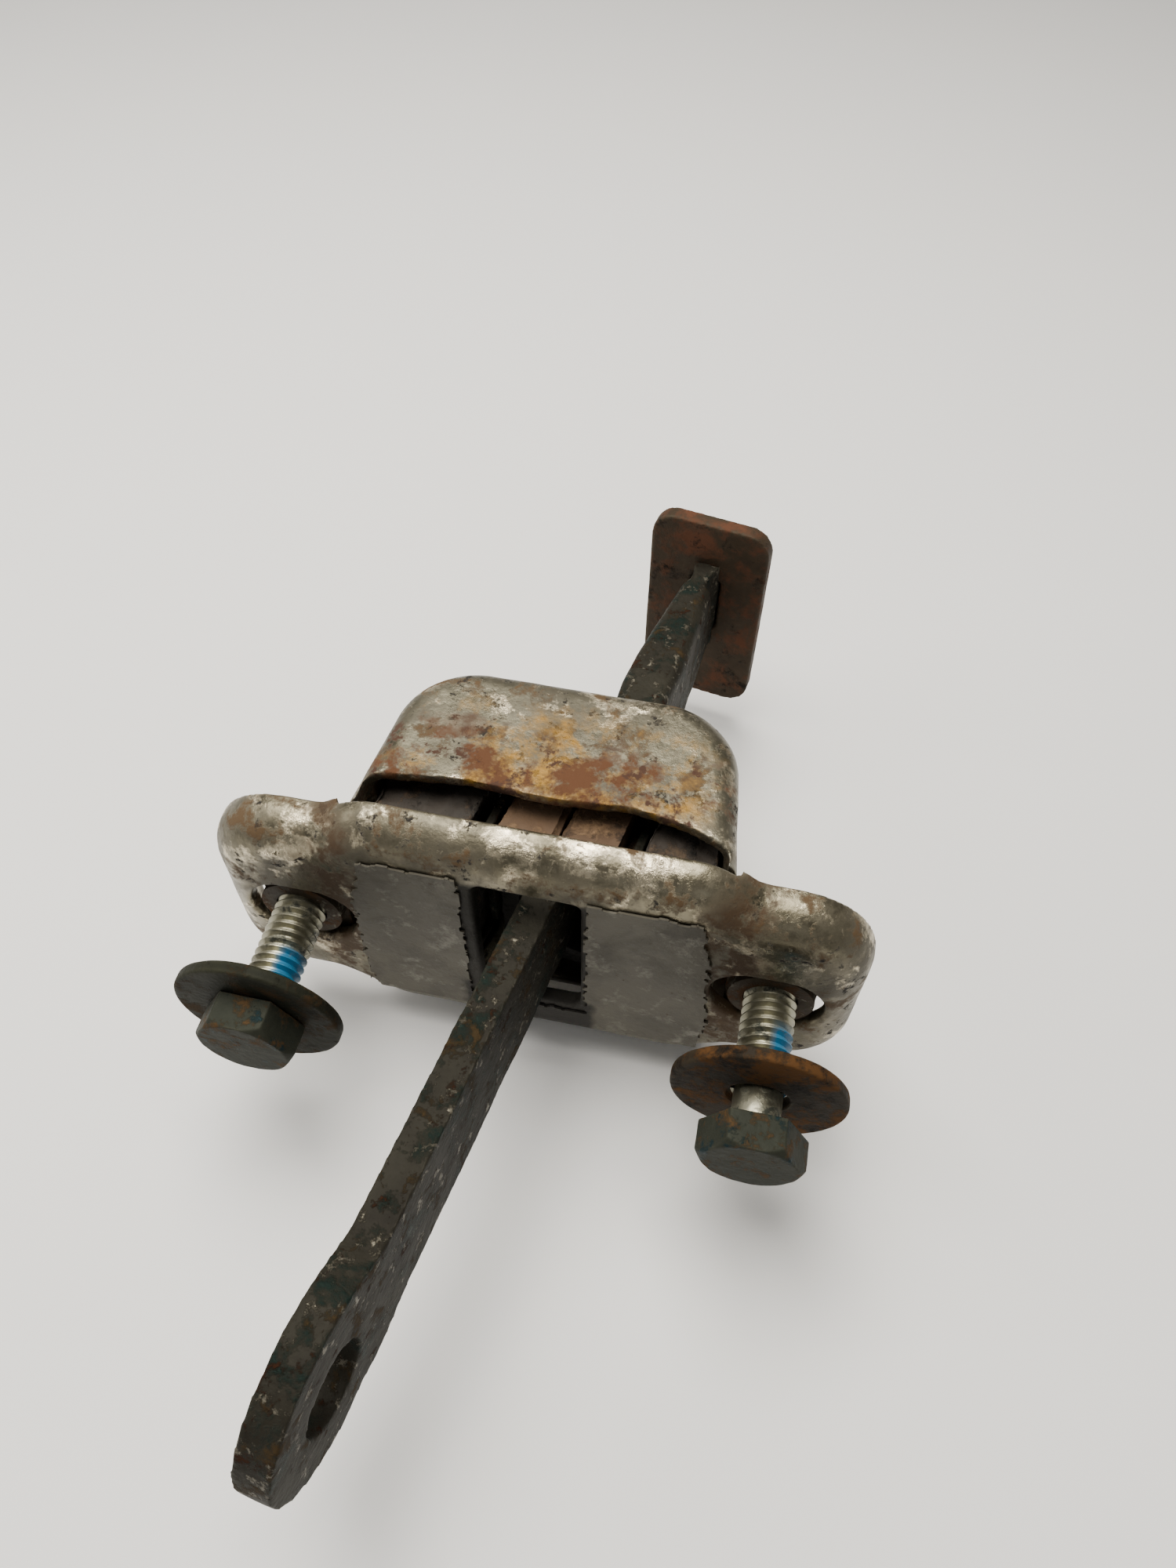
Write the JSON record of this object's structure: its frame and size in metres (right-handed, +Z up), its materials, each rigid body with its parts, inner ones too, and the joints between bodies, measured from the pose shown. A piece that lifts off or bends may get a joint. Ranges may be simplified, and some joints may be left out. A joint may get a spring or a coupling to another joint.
{
  "type": "vehicle door check",
  "caption": "Vehicle door check: a dished plate and drawn cover hold rubber-backed shoes on a sliding check arm with an eye and a stop plate; bolts with loose washers.",
  "frame": {"origin": "front face of the mounting plate, midway between the two bolt holes", "axes": "+X along the line of the bolt holes, +Y back into the door along the bolts, +Z up"},
  "size_m": [0.074, 0.1191, 0.038],
  "materials": {
    "zinc_plate": "zinc plated, rust spots",
    "film": "matte, torn",
    "arm_steel": "dark, worn",
    "stop_steel": "dark, rusty",
    "shoe_plastic": "matte, dusty",
    "rubber": "matte",
    "fastener": "plated, stained",
    "washer": "rusty"
  },
  "bodies": {
    "housing": {"mounting_plate": "zinc_plate", "housing_cover": "zinc_plate", "face_film": "film", "left_nut_cage": "zinc_plate", "right_nut_cage": "zinc_plate", "left_rubber_block": "rubber", "right_rubber_block": "rubber"},
    "arm_guide": {"guide_left_half": "arm_steel", "guide_right_half": "arm_steel"},
    "left_shoe": {"left_shoe": "shoe_plastic", "left_pressure_plate": "arm_steel"},
    "right_shoe": {"right_shoe": "shoe_plastic", "right_pressure_plate": "arm_steel"},
    "check_arm": {"check_arm": "arm_steel", "stop_plate": "stop_steel"},
    "left_nut": {"left_nut": "fastener"},
    "right_nut": {"right_nut": "fastener"},
    "left_washer": {"left_washer": "washer"},
    "right_washer": {"right_washer": "washer"},
    "left_bolt": {"left_bolt": "fastener"},
    "right_bolt": {"right_bolt": "fastener"}
  },
  "joints": [
    {"name": "arm_swing", "type": "hinge", "parent": "housing", "child": "arm_guide", "pos_m": [0.00254, 0.013, 0.0013], "axis": [0.9848, -0.1736, 0], "range_deg": [-8, 8]},
    {"name": "arm_slide", "type": "slide", "parent": "arm_guide", "child": "check_arm", "axis": [0.1736, 0.9848, 0], "range_m": [-0.028, 0.025]},
    {"name": "left_shoe_press", "type": "slide", "parent": "arm_guide", "child": "left_shoe", "axis": [-0.9848, 0.1736, 0], "range_m": [-0.0009, 0.0009], "deforming": ["left_rubber_block"]},
    {"name": "right_shoe_press", "type": "slide", "parent": "arm_guide", "child": "right_shoe", "axis": [0.9848, -0.1736, 0], "range_m": [-0.0009, 0.0009], "deforming": ["right_rubber_block"]},
    {"name": "left_nut_float", "type": "slide", "parent": "housing", "child": "left_nut", "axis": [1, 0, 0], "range_m": [-0.00105, 0.00195]},
    {"name": "left_bolt_travel", "type": "slide", "parent": "left_nut", "child": "left_washer", "axis": [0, 1, 0], "range_m": [-0.003, 0.011]},
    {"name": "left_bolt_turn", "type": "hinge", "parent": "left_washer", "child": "left_bolt", "pos_m": [-0.0272, 0, 0], "axis": [0, 1, 0], "range_deg": [-1080.5, 3960.5]},
    {"name": "right_nut_float", "type": "slide", "parent": "housing", "child": "right_nut", "axis": [1, 0, 0], "range_m": [-0.00195, 0.00105]},
    {"name": "right_bolt_travel", "type": "slide", "parent": "right_nut", "child": "right_washer", "axis": [0, 1, 0], "range_m": [-0.0015, 0.00875]},
    {"name": "right_bolt_turn", "type": "hinge", "parent": "right_washer", "child": "right_bolt", "pos_m": [0.0272, 0, 0], "axis": [0, 1, 0], "range_deg": [-540.5, 3150.5]}
  ],
  "couplings": [
    {"joint": "left_shoe_press", "follows": "arm_slide", "ratio": -0.031},
    {"joint": "right_shoe_press", "follows": "arm_slide", "ratio": -0.031},
    {"joint": "left_bolt_turn", "follows": "left_bolt_travel", "rad_per_m": 6283.2},
    {"joint": "right_bolt_turn", "follows": "right_bolt_travel", "rad_per_m": 6283.2}
  ]
}
